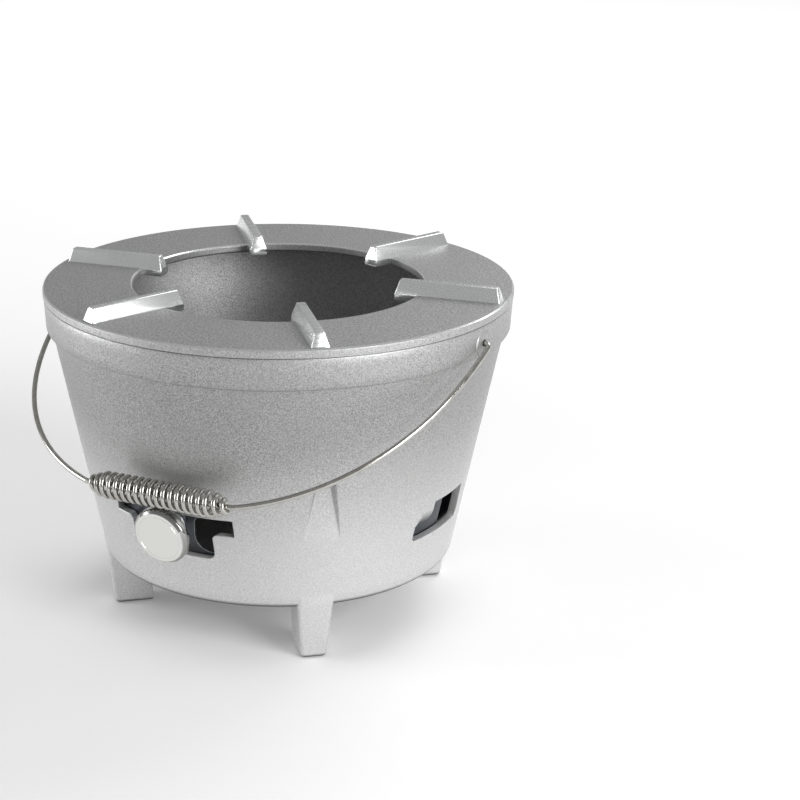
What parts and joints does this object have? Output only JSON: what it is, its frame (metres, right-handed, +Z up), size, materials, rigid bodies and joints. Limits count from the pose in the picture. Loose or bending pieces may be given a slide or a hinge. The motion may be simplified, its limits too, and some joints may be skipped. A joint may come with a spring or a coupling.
{
  "type": "bucket camp stove",
  "caption": "Tapered cast bucket stove on four legs with a ribbed pan ring, a turning air ring worked by a front knob, a fire grate and a wire bail with a coil grip.",
  "frame": {"origin": "on the ground under the centre of the round body", "axes": "+Z up; -Y towards the front vent with the knob; the bail turns about a line along X"},
  "size_m": [0.3204, 0.3147, 0.2297],
  "materials": {
    "cast_aluminium": "as cast, fine sandy grain, satin",
    "grate_iron": "as cast, dark, matt",
    "air_ring_steel": "rolled sheet, satin",
    "polished_steel": "polished",
    "bright_zinc": "bright zinc plated",
    "bright_wire": "drawn bright steel wire"
  },
  "bodies": {
    "stove": {"body": "cast_aluminium"},
    "pan_ring": {"top_ring": "cast_aluminium"},
    "grate": {"fire_grate": "grate_iron"},
    "damper": {"air_ring": "air_ring_steel", "damper_stud": "bright_zinc", "stud_spacer": "bright_zinc", "inner_washer": "bright_zinc", "outer_washer": "bright_zinc", "stud_nut": "bright_zinc", "knob_nut": "bright_zinc", "damper_knob": "polished_steel"},
    "bail": {"bail_wire": "bright_wire"},
    "grip": {"bail_grip": "bright_wire"}
  },
  "joints": [
    {"name": "bail_swing", "type": "hinge", "parent": "stove", "child": "bail", "pos_m": [0, 0, 0.2038], "axis": [-1, 0, 0], "range_deg": [0, 239]},
    {"name": "grip_spin", "type": "hinge", "parent": "bail", "child": "grip", "pos_m": [0.0112, -0.14898, 0.12065], "axis": [0.9976, 0.0609, 0.034], "continuous": true},
    {"name": "air_damper", "type": "hinge", "parent": "stove", "child": "damper", "pos_m": [0, 0, 0.044], "axis": [0, 0, 1], "range_deg": [-20, 14]},
    {"name": "ring_lift", "type": "slide", "parent": "stove", "child": "pan_ring", "axis": [0, 0, 1], "range_m": [0, 0.02]},
    {"name": "grate_lift", "type": "slide", "parent": "stove", "child": "grate", "axis": [0, 0, 1], "range_m": [0, 0.07]}
  ]
}
